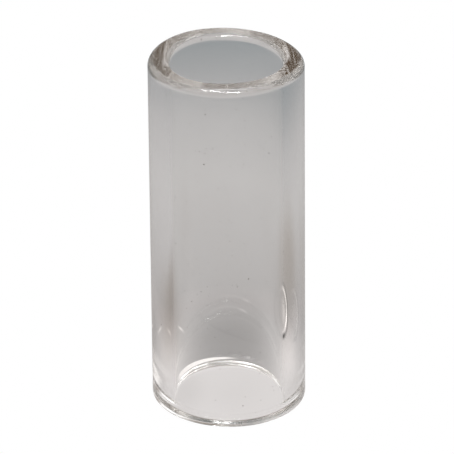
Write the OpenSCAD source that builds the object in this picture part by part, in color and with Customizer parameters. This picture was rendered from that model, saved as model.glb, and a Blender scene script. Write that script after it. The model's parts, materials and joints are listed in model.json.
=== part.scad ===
// Glass guitar slide: one piece of thick-walled tube, open right through,
// with both ends fire-polished. It stands on its lower end, with the bore along +Z
// and the origin at the middle of the lower end. All sizes are in millimetres.

/* [Tube] */
// Diameter of the bore that the finger goes into
bore_d = 20.4; // [16:0.2:22]
// Thickness of the glass wall, which sets the outside diameter
wall = 4.1; // [3:0.1:5]
// Length from end to end
tube_length = 69; // [40:1:90]

/* [Fire-polished ends] */
// Radius of the upper rim's outer edge, at the more heavily melted end
upper_outer_round = 1.4; // [0.3:0.1:1.4]
// Radius of the upper rim's inner edge
upper_inner_round = 1.2; // [0.3:0.1:1.4]
// Radius of the lower rim's outer edge
lower_outer_round = 0.5; // [0.3:0.1:1.4]
// Radius of the lower rim's inner edge
lower_inner_round = 0.9; // [0.3:0.1:1.4]

/* [Colour] */
// Shade of the clear glass
glass_colour = "Gainsboro"; // [Gainsboro, LightSteelBlue, LightCyan]
// How solid the glass is drawn, where 1 hides what is behind it
glass_opacity = 0.5; // [0.2:0.05:1]

/* [Hidden] */

bore_r = bore_d / 2;
outer_r = bore_r + wall;

// How far a cutter runs past the faces that it trims
past = 0.5;
// Fineness of the rim roundings and of the turned tube
round_fn = 64;
tube_fn = 180;

// The waste outside a rounded corner that sits at the origin. The glass lies on the
// side that inward_x and inward_y point to, each 1 or -1.
module corner_waste(radius, inward_x, inward_y) {
    difference() {
        translate([inward_x > 0 ? -past : -radius, inward_y > 0 ? -past : -radius])
            square(radius + past);
        translate([inward_x * radius, inward_y * radius])
            circle(r = radius, $fn = round_fn);
    }
}

// Half-section of the wall: a straight strip with each of its four corners melted round
module wall_section() {
    difference() {
        translate([bore_r, 0])
            square([wall, tube_length]);
        translate([bore_r, 0])
            corner_waste(lower_inner_round, 1, 1);
        translate([outer_r, 0])
            corner_waste(lower_outer_round, -1, 1);
        translate([bore_r, tube_length])
            corner_waste(upper_inner_round, 1, -1);
        translate([outer_r, tube_length])
            corner_waste(upper_outer_round, -1, -1);
    }
}

// The whole slide: a single turned solid, a true cylinder inside and outside
module glass_tube() {
    color(glass_colour, glass_opacity)
        rotate_extrude($fn = tube_fn)
            wall_section();
}

glass_tube();
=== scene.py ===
"""Looks of a clear glass guitar slide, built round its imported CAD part.

The slide is one heavy-walled glass tube, cut at both ends and fire-polished. Its mesh is turned
from the CAD part's radii and length, then given what cutting, melting and handling leave on it:
ends a little out of square, ripples, dents and threads in the melted upper rim, and draw lines
along the walls. Clear glass shows what lies behind it, so the floor is painted with the soft
shade and the thin lines of light that such a tube throws on pale paper.
"""
import json
import math
import bpy
import numpy as np
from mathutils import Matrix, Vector


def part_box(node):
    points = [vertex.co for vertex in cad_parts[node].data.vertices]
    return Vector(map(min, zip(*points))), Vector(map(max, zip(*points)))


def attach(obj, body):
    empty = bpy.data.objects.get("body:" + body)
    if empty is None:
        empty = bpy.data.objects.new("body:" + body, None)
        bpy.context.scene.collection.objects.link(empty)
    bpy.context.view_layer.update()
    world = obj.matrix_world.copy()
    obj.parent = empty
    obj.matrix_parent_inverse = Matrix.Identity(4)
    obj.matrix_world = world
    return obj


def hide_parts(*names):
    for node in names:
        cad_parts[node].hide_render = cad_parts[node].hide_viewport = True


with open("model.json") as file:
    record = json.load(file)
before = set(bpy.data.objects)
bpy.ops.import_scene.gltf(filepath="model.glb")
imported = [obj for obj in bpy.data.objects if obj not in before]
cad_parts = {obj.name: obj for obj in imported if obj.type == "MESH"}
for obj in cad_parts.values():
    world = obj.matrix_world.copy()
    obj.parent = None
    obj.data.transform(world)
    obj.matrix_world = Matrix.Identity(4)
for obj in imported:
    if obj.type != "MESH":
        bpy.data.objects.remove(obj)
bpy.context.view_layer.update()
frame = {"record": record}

MM = 0.001
NODE = "glass_tube"
BODY = "root"

# Sizes of the tube, from the frame
MOUNTS = {mount["name"]: mount for mount in frame["record"]["mounts"]}
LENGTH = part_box(NODE)[1].z
OUTER_R = MOUNTS["outer_barrel"]["dims"]["r_mm"] * MM
BORE_R = MOUNTS["finger_bore"]["dims"]["r_mm"] * MM
MID_R = (OUTER_R + BORE_R) / 2

# Radii of the four melted edges, as in the CAD part
UPPER_OUTER_ROUND = 1.4 * MM
UPPER_INNER_ROUND = 1.2 * MM
LOWER_OUTER_ROUND = 0.5 * MM
LOWER_INNER_ROUND = 0.9 * MM

# Steps round the tube, and the spacing of points along its section
SEGMENTS = 480
ROUND_STEP = 0.075 * MM
LAND_STEP = 0.09 * MM
WALL_STEPS = 32

# Every random number comes from here, so each run gives the same tube
RANDOM = np.random.default_rng(7)


# --- Section of the wall ---

def arc(centre, radius, start_deg, end_deg):
    """Points on an arc, from start to end, with both ends."""
    angles = np.radians([start_deg, end_deg])
    count = 2 + math.ceil(abs(angles[1] - angles[0]) * radius / ROUND_STEP)
    angles = np.linspace(angles[0], angles[1], count)
    return np.column_stack([centre[0] + radius * np.cos(angles), centre[1] + radius * np.sin(angles)])


def line(start, end, count):
    """Points between start and end, without either, closer together towards both ends."""
    even = np.linspace(0, 1, count + 2)[1:-1, None]
    steps = even - np.sin(2 * math.pi * even) / (2 * math.pi) * 0.8
    return np.array(start) * (1 - steps) + np.array(end) * steps


def wall_section():
    """The closed outline of the wall as rows of (radius, height), counter-clockwise."""
    lower_inner = arc((BORE_R + LOWER_INNER_ROUND, LOWER_INNER_ROUND), LOWER_INNER_ROUND, 180, 270)
    lower_outer = arc((OUTER_R - LOWER_OUTER_ROUND, LOWER_OUTER_ROUND), LOWER_OUTER_ROUND, 270, 360)
    upper_outer = arc((OUTER_R - UPPER_OUTER_ROUND, LENGTH - UPPER_OUTER_ROUND), UPPER_OUTER_ROUND, 0, 90)
    upper_inner = arc((BORE_R + UPPER_INNER_ROUND, LENGTH - UPPER_INNER_ROUND), UPPER_INNER_ROUND, 90, 180)
    lower_land = lower_outer[0, 0] - lower_inner[-1, 0]
    upper_land = upper_outer[-1, 0] - upper_inner[0, 0]
    return np.vstack([
        lower_inner,
        line(lower_inner[-1], lower_outer[0], round(lower_land / LAND_STEP)),
        lower_outer,
        line(lower_outer[-1], upper_outer[0], WALL_STEPS),
        upper_outer,
        line(upper_outer[-1], upper_inner[0], round(upper_land / LAND_STEP)),
        upper_inner,
        line(upper_inner[-1], lower_inner[0], WALL_STEPS),
    ])


def section_normals(section):
    """The outward direction at each point of the closed section."""
    along = np.roll(section, -1, axis=0) - np.roll(section, 1, axis=0)
    outward = np.column_stack([along[:, 1], -along[:, 0]])
    return outward / np.linalg.norm(outward, axis=1, keepdims=True)


# --- What cutting and melting leave on the tube ---

def smooth_step(values, low, high):
    """A smooth rise from 0 at the low value to 1 at the high one."""
    share = np.clip((values - low) / (high - low), 0, 1)
    return share * share * (3 - 2 * share)


def lower_end_lift(theta):
    """How far the lower end stands up, because it was cut a little out of square."""
    tilt = 0.22 * MM
    low_side = math.radians(-35)
    return tilt * (1 - np.cos(theta - low_side))


def upper_end_lift(theta):
    """How far the upper end stands above its mean height."""
    tilt = -0.16 * MM * np.cos(theta)
    sag = -0.16 * MM * np.sin(2 * theta)
    front_rise = 0.17 * MM * (np.sin(theta) ** 2 - np.sin(theta))
    return tilt + sag + front_rise


def random_waves(theta, along, count, turns, pitch, size):
    """A sum of random waves over the surface, of about the given size in metres.

    turns is the range of waves once round the tube, and pitch the shortest wave along the section."""
    total = np.zeros(np.broadcast(theta, along).shape)
    for _ in range(count):
        round_waves = RANDOM.integers(turns[0], turns[1] + 1)
        along_waves = RANDOM.uniform(-1, 1) / pitch
        phase = RANDOM.uniform(0, 2 * math.pi)
        total += np.cos(round_waves * theta + 2 * math.pi * along_waves * along + phase)
    return total * size / math.sqrt(count / 2)


def turn_from(theta, angle_deg):
    """The angle from a place on the rim, between half a turn back and half a turn on."""
    return (theta - math.radians(angle_deg) + math.pi) % (2 * math.pi) - math.pi


# Small dents in the upper rim: angle in degrees, radius on the rim, width and depth
DENTS = [
    (-24, MID_R - 0.9 * MM, 0.36 * MM, 0.09 * MM),
    (-31, MID_R - 1.1 * MM, 0.32 * MM, 0.09 * MM),
    (-17, MID_R - 1.2 * MM, 0.34 * MM, 0.08 * MM),
    (-28, MID_R - 0.3 * MM, 0.30 * MM, 0.06 * MM),
    (-52, MID_R - 1.4 * MM, 0.40 * MM, 0.05 * MM),
    (-68, MID_R + 1.3 * MM, 0.30 * MM, 0.04 * MM),
    (-112, MID_R - 1.3 * MM, 0.35 * MM, 0.04 * MM),
    (172, MID_R + 0.9 * MM, 0.40 * MM, 0.05 * MM),
    (196, MID_R - 1.0 * MM, 0.34 * MM, 0.07 * MM),
    (202, MID_R - 0.3 * MM, 0.30 * MM, 0.05 * MM),
]


def rim_dents(theta, radius):
    """The dents' depth below the rim, as a height below 0."""
    depth = np.zeros(np.broadcast(theta, radius).shape)
    for angle_deg, place, width, deep in DENTS:
        square = (turn_from(theta, angle_deg) * place / width) ** 2 + ((radius - place) / width) ** 2
        depth -= deep * np.exp(-square)
    return depth


# Fine threads drawn in the melted rim: middle angle and spread in degrees, radius, how far
# the thread wanders from it, its waves in a whole turn, and its height
THREADS = [
    (180, 15, MID_R - 0.10 * MM, 0.40 * MM, 9, 0.030 * MM),
    (186, 17, MID_R + 0.80 * MM, 0.25 * MM, 13, 0.020 * MM),
    (206, 10, MID_R - 0.70 * MM, 0.30 * MM, 15, 0.022 * MM),
    (2, 12, MID_R - 0.75 * MM, 0.14 * MM, 8, 0.036 * MM),
    (-10, 9, MID_R + 0.45 * MM, 0.40 * MM, 14, 0.026 * MM),
    (16, 9, MID_R + 0.70 * MM, 0.25 * MM, 10, 0.020 * MM),
    (-36, 9, MID_R - 0.50 * MM, 0.30 * MM, 18, 0.020 * MM),
]
THREAD_WIDTH = 0.16 * MM


def rim_threads(theta, radius):
    """The threads' height above the rim."""
    height = np.zeros(np.broadcast(theta, radius).shape)
    for angle_deg, spread_deg, place, wander, waves, rise in THREADS:
        turn = turn_from(theta, angle_deg)
        middle = place + wander * np.sin(waves * turn) + 0.4 * wander * np.sin(2.3 * waves * turn + 1)
        strength = np.exp(-(turn / math.radians(spread_deg)) ** 2)
        height += rise * strength * np.exp(-((radius - middle) / THREAD_WIDTH) ** 2)
    return height


def melt_ripples(theta, along):
    """Low rings that run round the melted rim, strongest at the front and back."""
    rise = 0.007 * MM
    pitch = 0.95 * MM
    drift = 0.9 * MM * np.sin(theta + 0.6) + 0.3 * MM * np.sin(3 * theta)
    strength = 0.35 + 0.65 * np.sin(theta) ** 2
    return rise * strength * np.sin(2 * math.pi * (along + drift) / pitch)


def draw_lines(theta, height):
    """Faint lines that run up the walls without a break, and drift slowly to one side."""
    drift = 0.03 * np.sin(height / LENGTH * 4)
    unbroken = np.zeros_like(height)
    return random_waves(theta + drift, unbroken, 14, (9, 46), 1, 0.0008 * MM)


# How far from each end the melting shows, and where it is full. The rim's land starts where
# the melting is full.
UPPER_MELT_REACH = 5 * MM
UPPER_MELT_FULL = 0.6 * MM
UPPER_LAND_FULL = 0.1 * MM
LOWER_MELT_REACH = 4 * MM
LOWER_MELT_FULL = 0.4 * MM
LOWER_MELT_SHARE = 0.05


def surface_push(theta, radius, height, along):
    """How far melting and drawing move the surface out along its normal."""
    upper_melt = smooth_step(height, LENGTH - UPPER_MELT_REACH, LENGTH - UPPER_MELT_FULL)
    lower_melt = smooth_step(-height, -LOWER_MELT_REACH, -LOWER_MELT_FULL)
    upper_land = smooth_step(height, LENGTH - UPPER_MELT_FULL, LENGTH - UPPER_LAND_FULL)
    swell = random_waves(theta, along, 12, (2, 6), 8.0 * MM, 0.010 * MM)
    push = upper_melt * (swell + melt_ripples(theta, along))
    push = push + lower_melt * LOWER_MELT_SHARE * swell
    push = push + upper_land * (rim_dents(theta, radius) + rim_threads(theta, radius))
    return push + draw_lines(theta, height)


def slide_points():
    """The mesh grid, one row of section points for each step round the tube."""
    section = wall_section()
    normals = section_normals(section)
    radius = section[None, :, 0]
    height = section[None, :, 1]
    steps = np.linalg.norm(np.diff(section, axis=0), axis=1)
    along = np.concatenate([[0], np.cumsum(steps)])[None, :]
    theta = np.linspace(0, 2 * math.pi, SEGMENTS, endpoint=False)[:, None]

    push = surface_push(theta, radius, height, along)
    upper_share = height / LENGTH
    lift = upper_share * upper_end_lift(theta) + (1 - upper_share) * lower_end_lift(theta)
    new_radius = radius + push * normals[None, :, 0]
    new_height = height + push * normals[None, :, 1] + lift
    new_height = new_height - new_height.min()
    return np.stack([new_radius * np.cos(theta), new_radius * np.sin(theta), new_height], axis=-1)


def ring_mesh(name, grid):
    """A closed mesh from a grid of points, joined to itself both ways."""
    index = np.arange(grid.shape[0] * grid.shape[1]).reshape(grid.shape[:2])
    after = np.roll(index, -1, axis=0)
    faces = np.stack([index, after, np.roll(after, -1, axis=1), np.roll(index, -1, axis=1)], axis=-1)
    mesh = bpy.data.meshes.new(name)
    mesh.from_pydata(grid.reshape(-1, 3).tolist(), [], faces.reshape(-1, 4).tolist())
    mesh.shade_smooth()
    mesh.update()
    return mesh


# --- Node helpers ---

WHITE = (1, 1, 1, 1)


def new_material(name):
    """A material with an empty node tree, and its output node."""
    material = bpy.data.materials.new(name)
    material.use_nodes = True
    tree = material.node_tree
    tree.nodes.clear()
    return material, tree, tree.nodes.new("ShaderNodeOutputMaterial")


def plug(tree, value, socket):
    """Link another node's output to a socket, or set the socket to a plain value."""
    if isinstance(value, bpy.types.NodeSocket):
        tree.links.new(value, socket)
    else:
        socket.default_value = value


def math_node(tree, operation, *values):
    """The result of a Math node on the values, each a number or another node's output."""
    node = tree.nodes.new("ShaderNodeMath")
    node.operation = operation
    for socket, value in zip(node.inputs, values):
        plug(tree, value, socket)
    return node.outputs[0]


def component(tree, vector, axis):
    """The part of a vector along axis X, Y or Z."""
    separate = tree.nodes.new("ShaderNodeSeparateXYZ")
    tree.links.new(vector, separate.inputs[0])
    return separate.outputs[axis]


def map_range(tree, value, low, high, new_low, new_high, smooth=False):
    """The value from low to high, carried over to the range from new_low to new_high."""
    node = tree.nodes.new("ShaderNodeMapRange")
    node.interpolation_type = "SMOOTHERSTEP" if smooth else "LINEAR"
    for name, number in zip(("From Min", "From Max", "To Min", "To Max"), (low, high, new_low, new_high)):
        node.inputs[name].default_value = number
    tree.links.new(value, node.inputs["Value"])
    return node.outputs["Result"]


def falloff(tree, distance, reach, start=0.0):
    """A smooth fall from 1 at the start distance to 0 at reach."""
    return map_range(tree, distance, start, reach, 1, 0, smooth=True)


def distance_from(tree, position, centre, stretch=(1, 1)):
    """Distance from a centre in X and Y, divided by stretch along each of them."""
    squares = []
    for axis, middle, size in zip("XY", centre, stretch):
        offset = math_node(tree, "SUBTRACT", component(tree, position, axis), middle)
        squares.append(math_node(tree, "POWER", math_node(tree, "DIVIDE", offset, size), 2.0))
    return math_node(tree, "SQRT", math_node(tree, "ADD", *squares))


def noise(tree, position, scale, detail, stretch=(1, 1, 1)):
    """Smooth noise from about 0 to 1, with scale waves to the metre, stretched along the axes."""
    mapping = tree.nodes.new("ShaderNodeMapping")
    mapping.inputs["Scale"].default_value = stretch
    tree.links.new(position, mapping.inputs["Vector"])
    node = tree.nodes.new("ShaderNodeTexNoise")
    node.inputs["Scale"].default_value = scale
    node.inputs["Detail"].default_value = detail
    tree.links.new(mapping.outputs["Vector"], node.inputs["Vector"])
    return node.outputs["Fac"]


def ramp(tree, factor, stops):
    """A colour ramp over a 0 to 1 factor, from (position, colour) pairs."""
    node = tree.nodes.new("ShaderNodeValToRGB")
    while len(node.color_ramp.elements) < len(stops):
        node.color_ramp.elements.new(0.5)
    for element, (position, colour) in zip(node.color_ramp.elements, stops):
        element.position = position
        element.color = (*colour, 1)
    tree.links.new(factor, node.inputs["Fac"])
    return node.outputs["Color"]


def mix_colours(tree, share, first, second, blend="MIX"):
    """The first colour, blended with the second by share. Each is a value or a node's output."""
    node = tree.nodes.new("ShaderNodeMix")
    node.data_type = "RGBA"
    node.blend_type = blend
    plug(tree, share, node.inputs["Factor"])
    plug(tree, first, node.inputs["A"])
    plug(tree, second, node.inputs["B"])
    return node.outputs["Result"]


def multiply_colours(tree, first, second):
    """The product of two colours."""
    return mix_colours(tree, 1.0, first, second, "MULTIPLY")


def grey(level):
    """A grey of the given level, as a colour."""
    return (level, level, level)


# --- Glass ---

def share_of_height(tree, position, low, high):
    """0 below the low height and 1 above the high one."""
    return map_range(tree, component(tree, position, "Z"), low, high, 0, 1)


def unrolled(tree, position):
    """The walls laid out flat, as distance round the tube and height.

    The radius is added to the distance, so that the inside and the outside differ."""
    turn = math_node(tree, "ARCTAN2", component(tree, position, "Y"), component(tree, position, "X"))
    moved_on = math_node(tree, "MULTIPLY", distance_from(tree, position, (0, 0)), 3.0)
    flat = tree.nodes.new("ShaderNodeCombineXYZ")
    tree.links.new(math_node(tree, "MULTIPLY_ADD", turn, MID_R, moved_on), flat.inputs["X"])
    tree.links.new(component(tree, position, "Z"), flat.inputs["Y"])
    return flat.outputs[0]


def specks(tree, flat, per_metre, radius, share):
    """1 on sparse round specks: one for each cell of the grid that falls in the given share."""
    cells = tree.nodes.new("ShaderNodeTexVoronoi")
    cells.voronoi_dimensions = "2D"
    cells.inputs["Scale"].default_value = per_metre
    tree.links.new(flat, cells.inputs["Vector"])
    chance = tree.nodes.new("ShaderNodeSeparateColor")
    tree.links.new(cells.outputs["Color"], chance.inputs["Color"])
    picked = math_node(tree, "LESS_THAN", chance.outputs["Red"], share)
    reach = radius * per_metre
    near = map_range(tree, cells.outputs["Distance"], 0.5 * reach, reach, 1, 0)
    return math_node(tree, "MULTIPLY", picked, near)


def dust_specks(tree, position):
    """1 on dust: fine specks on the upper rim, and both coarse and fine ones on the walls."""
    on_rim = share_of_height(tree, position, LENGTH - 1.2 * MM, LENGTH - 0.9 * MM)
    off_rim = math_node(tree, "SUBTRACT", 1.0, on_rim)
    rim_dust = math_node(tree, "MULTIPLY", specks(tree, position, 1100, 0.11 * MM, 0.13), on_rim)
    flat = unrolled(tree, position)
    coarse = specks(tree, flat, 150, 0.17 * MM, 0.12)
    fine = specks(tree, flat, 420, 0.10 * MM, 0.13)
    wall_dust = math_node(tree, "MULTIPLY", math_node(tree, "MAXIMUM", coarse, fine), off_rim)
    return math_node(tree, "MAXIMUM", wall_dust, rim_dust)


def glass_roughness(tree, position, smudge, dust):
    """Smooth glass, duller where it is smeared, handled or dusty, and scuffed where it stands."""
    smeared = map_range(tree, smudge, 0.45, 0.75, 0.015, 0.035)
    handled = share_of_height(tree, position, 12 * MM, 45 * MM)
    scuffed = math_node(tree, "SUBTRACT", 1.0, share_of_height(tree, position, 0.05 * MM, 0.15 * MM))
    roughness = math_node(tree, "MULTIPLY_ADD", handled, 0.05, smeared)
    roughness = math_node(tree, "MULTIPLY_ADD", scuffed, 0.30, roughness)
    return math_node(tree, "MULTIPLY_ADD", dust, 0.3, roughness)


def string_scratches(tree, position):
    """The normal of glass with fine scratches, long in the direction of the bore."""
    bump = tree.nodes.new("ShaderNodeBump")
    bump.inputs["Strength"].default_value = 0.01
    bump.inputs["Distance"].default_value = 0.05 * MM
    tree.links.new(noise(tree, position, 900, 2, (1, 1, 0.06)), bump.inputs["Height"])
    return bump.outputs["Normal"]


def glass_material():
    """Clear glass with a thin gloss, dust specks, finger smudges and fine scratches."""
    material, tree, output = new_material("clear_glass")
    position = tree.nodes.new("ShaderNodeTexCoord").outputs["Object"]
    shader = tree.nodes.new("ShaderNodeBsdfPrincipled")
    shader.inputs["IOR"].default_value = 1.5
    shader.inputs["Transmission Weight"].default_value = 1.0
    shader.inputs["Coat Weight"].default_value = 0.06
    shader.inputs["Coat Roughness"].default_value = 0.02
    tree.links.new(shader.outputs["BSDF"], output.inputs["Surface"])

    smudge = noise(tree, position, 90, 3, (1, 1, 0.5))
    dust = dust_specks(tree, position)
    clean = ramp(tree, smudge, [(0.35, (1.0, 1.0, 1.0)), (0.75, (0.975, 0.972, 0.968))])
    tree.links.new(mix_colours(tree, dust, clean, (0.16, 0.14, 0.12, 1)), shader.inputs["Base Color"])
    tree.links.new(glass_roughness(tree, position, smudge, dust), shader.inputs["Roughness"])
    tree.links.new(string_scratches(tree, position), shader.inputs["Normal"])

    absorb = tree.nodes.new("ShaderNodeVolumeAbsorption")
    absorb.inputs["Color"].default_value = (0.93, 0.91, 0.87, 1)
    absorb.inputs["Density"].default_value = 5.0
    tree.links.new(absorb.outputs["Volume"], output.inputs["Volume"])
    return material


# --- Floor ---

# Colour of the paper by distance from the middle of its pool of light, in mm
POOL_MIDDLE = (-10 * MM, 0)
POOL_RINGS = [
    (0, (0.73, 0.70, 0.69)),
    (95, (0.72, 0.70, 0.69)),
    (120, (0.65, 0.635, 0.63)),
    (140, (0.49, 0.495, 0.50)),
    (160, (0.37, 0.40, 0.415)),
    (250, (0.50, 0.52, 0.53)),
]

# Light and shade close to the slide by distance from its axis, in mm. The brown ring is
# painted shadow where the lower rim touches the paper.
CONTACT_SHADOW_BROWN = (0.075, 0.040, 0.010)
SLIDE_RINGS = [
    (0, grey(0.95)),
    (10.44, grey(1.00)),
    (11.34, grey(1.15)),
    (11.7, CONTACT_SHADOW_BROWN),
    (13.68, CONTACT_SHADOW_BROWN),
    (14.22, grey(0.95)),
    (21.6, grey(0.97)),
    (27.9, grey(0.88)),
    (33.3, grey(0.79)),
    (38.7, (0.70, 0.69, 0.69)),
    (46.8, grey(0.63)),
    (63, grey(0.69)),
    (90, grey(0.76)),
]

# Broad patches of light and shade round the slide: centre and size in mm, and tint
FLOOR_PATCHES = [
    ((30, 8), (9, 9), (1.22, 1.20, 1.19)),
    ((-31, 7), (11, 11), (1.02, 1.01, 1.00)),
    ((55, 32), (22, 22), (0.77, 0.73, 0.69)),
    ((-38, 20), (16, 16), (0.89, 0.86, 0.83)),
    ((-53, 16), (14, 11), (0.76, 0.73, 0.70)),
    ((-10, 1), (4, 7), grey(0.90)),
    ((46, 10), (4.5, 3.5), (1.60, 1.58, 1.57)),
]

# Thin lines of light and shade that the glass throws on the paper: centre and radius of the
# circle, half width, gain, strongest place and reach from it, in mm
FLOOR_LINES = [
    ((47, 8), 11.3, 1.5, -0.62, (44, 12), 22),
    ((47, 8), 9.2, 1.5, 1.50, (47, 15), 19),
    ((33.5, 28.5), 11.4, 0.8, -0.18, (23, 29), 17),
    ((47, 8), 10.8, 1.8, -0.85, (36.7, 6.0), 4.5),
    ((47, 8), 8.6, 1.0, 0.90, (40, 13), 6),
    ((-20.5, 10), 14.8, 0.8, 0.90, (-22, 25), 6),
    ((-20.5, 10), 14.6, 0.9, 0.60, (-35, 13), 5),
    ((0, 27.8), 8.8, 0.5, 0.15, (0, 37), 12),
    ((0, 27.8), 8.8, 0.5, 0.35, (5.2, 34.9), 2.5),
    ((0, 28.6), 12.6, 0.5, 0.11, (2, 41), 14),
    ((0, 28.6), 12.2, 0.5, 0.30, (6.5, 38.8), 2.2),
    ((30, 80), 62.0, 1.0, -0.06, (-3, 27), 22),
]

# Where light leaks in under the lower rim: centre and reach in mm, and its share
RIM_LEAKS = [
    ((-10, 9), 11, 1.00),
    ((3, 12.5), 9, 0.80),
    ((12, 4), 10, 0.60),
    ((9, -9), 7, 0.10),
]


def rings(tree, position, centre, stops):
    """Colours that change with the distance from a centre, from (distance in mm, colour) pairs."""
    reach = stops[-1][0]
    distance = math_node(tree, "DIVIDE", distance_from(tree, position, centre), reach * MM)
    return ramp(tree, distance, [(place / reach, colour) for place, colour in stops])


def soft_patch(tree, position, centre, size, tint):
    """The factor of a soft oval on the floor: the tint in its middle, and white round it."""
    distance = distance_from(tree, position, centre, size)
    return ramp(tree, falloff(tree, distance, 2.0), [(0.0, grey(1.0)), (1.0, tint)])


def curved_line(tree, position, centre, radius, half_width, gain, strongest, reach):
    """The factor of a soft line along a circle, which fades away from its strongest place."""
    off_line = math_node(tree, "SUBTRACT", distance_from(tree, position, centre), radius)
    across = falloff(tree, math_node(tree, "ABSOLUTE", off_line), half_width)
    along = falloff(tree, distance_from(tree, position, strongest), reach)
    return math_node(tree, "MULTIPLY_ADD", math_node(tree, "MULTIPLY", across, along), gain, 1.0)


def add_own_shade(tree, position, colour, outside):
    """The floor's colour with the slide's own soft shade behind it, outside the tube only."""
    middle = (0.5 * MM, 20 * MM)
    size = (14.5 * MM, 16 * MM)
    shade = soft_patch(tree, position, middle, size, grey(0.47))
    return multiply_colours(tree, colour, mix_colours(tree, outside, WHITE, shade))


def add_patches(tree, position, colour):
    """The floor's colour with its broad patches of light and shade."""
    for centre, size, tint in FLOOR_PATCHES:
        patch = soft_patch(tree, position, Vector(centre) * MM, Vector(size) * MM, tint)
        colour = multiply_colours(tree, colour, patch)
    return colour


def add_lines(tree, position, colour):
    """The floor's colour with its thin lines of light and shade."""
    for centre, radius, half_width, gain, strongest, reach in FLOOR_LINES:
        mark = curved_line(tree, position, Vector(centre) * MM, radius * MM, half_width * MM, gain,
                           Vector(strongest) * MM, reach * MM)
        colour = multiply_colours(tree, colour, mark)
    return colour


def add_rim_leaks(tree, position, colour):
    """The floor's colour with the light that leaks in under the lower rim."""
    from_axis = distance_from(tree, position, (0, 0))
    past_bore = math_node(tree, "SUBTRACT", 1.0, falloff(tree, from_axis, 11.8 * MM, 11.4 * MM))
    under_rim = math_node(tree, "MULTIPLY", falloff(tree, from_axis, 13.7 * MM, 13.3 * MM), past_bore)
    for centre, reach, share in RIM_LEAKS:
        leak = distance_from(tree, position, Vector(centre) * MM)
        leak = falloff(tree, leak, reach * MM, 0.3 * reach * MM)
        leak = math_node(tree, "MULTIPLY", math_node(tree, "MULTIPLY", leak, under_rim), share)
        colour = mix_colours(tree, leak, colour, (0.72, 0.69, 0.66, 1))
    return colour


def add_crescent(tree, position, colour, outside):
    """The floor's colour with the light that the lower rim gathers to the left and behind."""
    disc = distance_from(tree, position, (-1.55 * MM, 1.25 * MM))
    disc = falloff(tree, disc, 15.4 * MM, 14.9 * MM)
    gathered = distance_from(tree, position, (-8.5 * MM, 13.5 * MM))
    gathered = falloff(tree, gathered, 13 * MM, 7 * MM)
    crescent = math_node(tree, "MULTIPLY", math_node(tree, "MULTIPLY", disc, gathered), outside)
    return mix_colours(tree, crescent, colour, (1.10, 1.06, 1.03, 1))


def split_by_view(tree, output, seen_through, node_type):
    """White to the camera itself, and the given colour to light that comes through the glass."""
    through = tree.nodes.new(node_type)
    tree.links.new(seen_through, through.inputs["Color"])
    direct = tree.nodes.new(node_type)
    direct.inputs["Color"].default_value = WHITE
    pick = tree.nodes.new("ShaderNodeMixShader")
    path = tree.nodes.new("ShaderNodeLightPath")
    tree.links.new(path.outputs["Is Camera Ray"], pick.inputs[0])
    tree.links.new(through.outputs[0], pick.inputs[1])
    tree.links.new(direct.outputs[0], pick.inputs[2])
    tree.links.new(pick.outputs[0], output.inputs["Surface"])


def floor_material():
    """Pale paper: a pool of light round the slide, its shade, and the light that it bends."""
    material, tree, output = new_material("paper_floor")
    position = tree.nodes.new("ShaderNodeNewGeometry").outputs["Position"]
    outside = math_node(tree, "GREATER_THAN", distance_from(tree, position, (0, 0)), OUTER_R)
    pool = rings(tree, position, POOL_MIDDLE, POOL_RINGS)
    colour = multiply_colours(tree, pool, rings(tree, position, (0, 0), SLIDE_RINGS))
    colour = add_own_shade(tree, position, colour, outside)
    colour = add_patches(tree, position, colour)
    colour = add_lines(tree, position, colour)
    colour = add_rim_leaks(tree, position, colour)
    colour = add_crescent(tree, position, colour, outside)
    split_by_view(tree, output, colour, "ShaderNodeEmission")
    return material


def make_floor():
    """A wide sheet of paper, just clear of the lower rim."""
    half = 3.0
    drop = 0.03 * MM
    mesh = bpy.data.meshes.new("floor")
    corners = [(-half, -half, -drop), (half, -half, -drop), (half, half, -drop), (-half, half, -drop)]
    mesh.from_pydata(corners, [], [(0, 1, 2, 3)])
    floor = bpy.data.objects.new("floor", mesh)
    bpy.context.scene.collection.objects.link(floor)
    floor.data.materials.append(floor_material())


# --- Sky, light and camera ---

# Colour of the sky by the height of its direction, from 0 at the horizon to 1 overhead
SKY_BEHIND = [
    (0.00, (0.55, 0.53, 0.52)),
    (0.14, (0.80, 0.78, 0.77)),
    (0.20, (1.20, 1.18, 1.17)),
    (0.60, (1.20, 1.18, 1.17)),
    (0.70, (0.05, 0.06, 0.06)),
]
SKY_IN_FRONT = [
    (0.00, (0.06, 0.04, 0.03)),
    (0.50, (0.10, 0.07, 0.04)),
    (0.60, (1.20, 1.14, 1.08)),
    (0.86, (1.30, 1.26, 1.22)),
    (0.93, (0.06, 0.09, 0.09)),
]


def make_world():
    """The studio that the rims of the glass pick up: a dark sky with two bright bands.

    The one behind the slide goes from near the horizon to about 40 degrees up, with a dim brown
    place in its middle. The one in front goes from about 35 to 60 degrees up."""
    world = bpy.data.worlds.new("studio")
    bpy.context.scene.world = world
    world.use_nodes = True
    tree = world.node_tree
    tree.nodes.clear()
    output = tree.nodes.new("ShaderNodeOutputWorld")
    direction = tree.nodes.new("ShaderNodeTexCoord").outputs["Generated"]
    height = component(tree, direction, "Z")
    behind = ramp(tree, height, SKY_BEHIND)
    dim_place = falloff(tree, distance_from(tree, direction, (0.0, 0.90), (0.36, 0.10)), 2.0)
    behind = mix_colours(tree, dim_place, behind, (0.12, 0.07, 0.03, 1))
    in_front = map_range(tree, component(tree, direction, "Y"), -0.15, 0.25, 1, 0)
    sky = mix_colours(tree, in_front, behind, ramp(tree, height, SKY_IN_FRONT))
    split_by_view(tree, output, sky, "ShaderNodeBackground")


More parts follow.
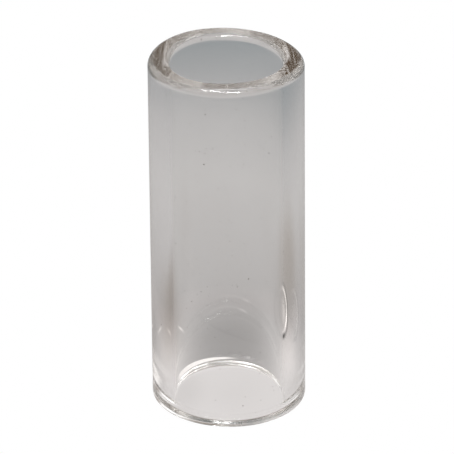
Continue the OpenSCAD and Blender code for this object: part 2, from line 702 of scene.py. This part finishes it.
def softbox(name, place, target, size, radiance, turn_deg):
    """A rectangular area light of the given size that shines from place towards target."""
    light = bpy.data.lights.new(name, "AREA")
    light.shape = "RECTANGLE"
    light.size = size[0]
    light.size_y = size[1]
    light.energy = radiance * math.pi * size[0] * size[1]
    lamp = bpy.data.objects.new(name, light)
    lamp.location = place
    lamp.rotation_euler = (Vector(target) - Vector(place)).to_track_quat("-Z", "Y").to_euler()
    lamp.rotation_euler.rotate_axis("Z", math.radians(turn_deg))
    lamp.visible_camera = False
    bpy.context.scene.collection.objects.link(lamp)


def make_camera():
    """A long lens that looks down at the slide from the front.

    The picture is taken to be 454 pixels wide, and the slide to show at 5415 pixels to the metre."""
    elevation = math.radians(27.3)
    roll = math.radians(-0.52)
    distance = 1.0
    pixels_per_metre = 5415
    picture_width = 454
    middle = Vector((-0.1 * MM, 0, LENGTH / 2 + 0.07 * MM))
    data = bpy.data.cameras.new("camera")
    data.sensor_width = 36
    data.lens = pixels_per_metre * distance * data.sensor_width / picture_width
    camera = bpy.data.objects.new("camera", data)
    camera.location = middle + distance * Vector((0, -math.cos(elevation), math.sin(elevation)))
    camera.rotation_euler = (middle - camera.location).to_track_quat("-Z", "Y").to_euler()
    camera.rotation_euler.rotate_axis("Z", roll)
    bpy.context.scene.collection.objects.link(camera)
    bpy.context.scene.camera = camera


def set_light_paths():
    """Light crosses the wall many times before it leaves a rim."""
    cycles = bpy.context.scene.cycles
    cycles.max_bounces = 64
    cycles.glossy_bounces = 64
    cycles.transmission_bounces = 64
    bpy.context.scene.view_settings.view_transform = "Standard"


def make_tube():
    """The slide itself, which stands in for the CAD tube."""
    tube = bpy.data.objects.new("fire_polished_tube", ring_mesh("fire_polished_tube", slide_points()))
    bpy.context.scene.collection.objects.link(tube)
    tube.data.materials.append(glass_material())
    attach(tube, BODY)
    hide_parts(NODE)


make_camera()
make_floor()
make_world()
softbox("strip_softbox", place=(-0.02, -0.33, 1.0), target=(0, 0, 0), size=(1.0, 0.11),
        radiance=32.0, turn_deg=-45)
set_light_paths()
make_tube()
